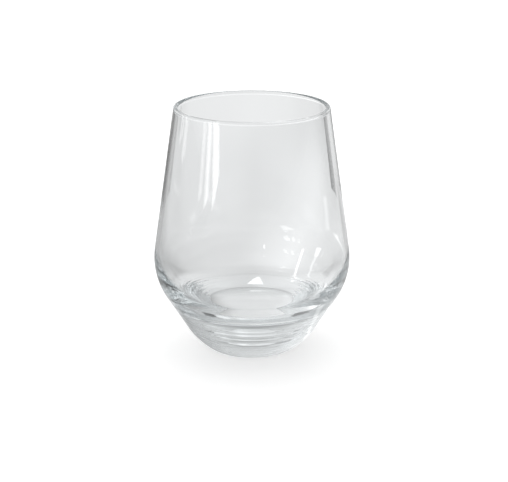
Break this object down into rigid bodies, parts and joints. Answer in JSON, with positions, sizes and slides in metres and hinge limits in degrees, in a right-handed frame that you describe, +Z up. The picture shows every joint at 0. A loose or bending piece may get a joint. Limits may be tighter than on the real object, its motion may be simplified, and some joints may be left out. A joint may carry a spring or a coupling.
{
  "type": "stemless wine glass",
  "caption": "Clear stemless wine glass with a rounded belly, a wall leaning in to a fine beaded rim and a thick solid base.",
  "frame": {"origin": "on the glass's axis, in the plane of the bearing ring that stands on the table", "axes": "+Z up along the axis of revolution, from the base to the rim"},
  "size_m": [0.0902, 0.0902, 0.113],
  "materials": {
    "glass": "clear, fire polished"
  },
  "bodies": {
    "root": {"rim": "glass", "upper_wall": "glass", "belly": "glass", "lower_wall": "glass", "base": "glass"}
  },
  "joints": []
}
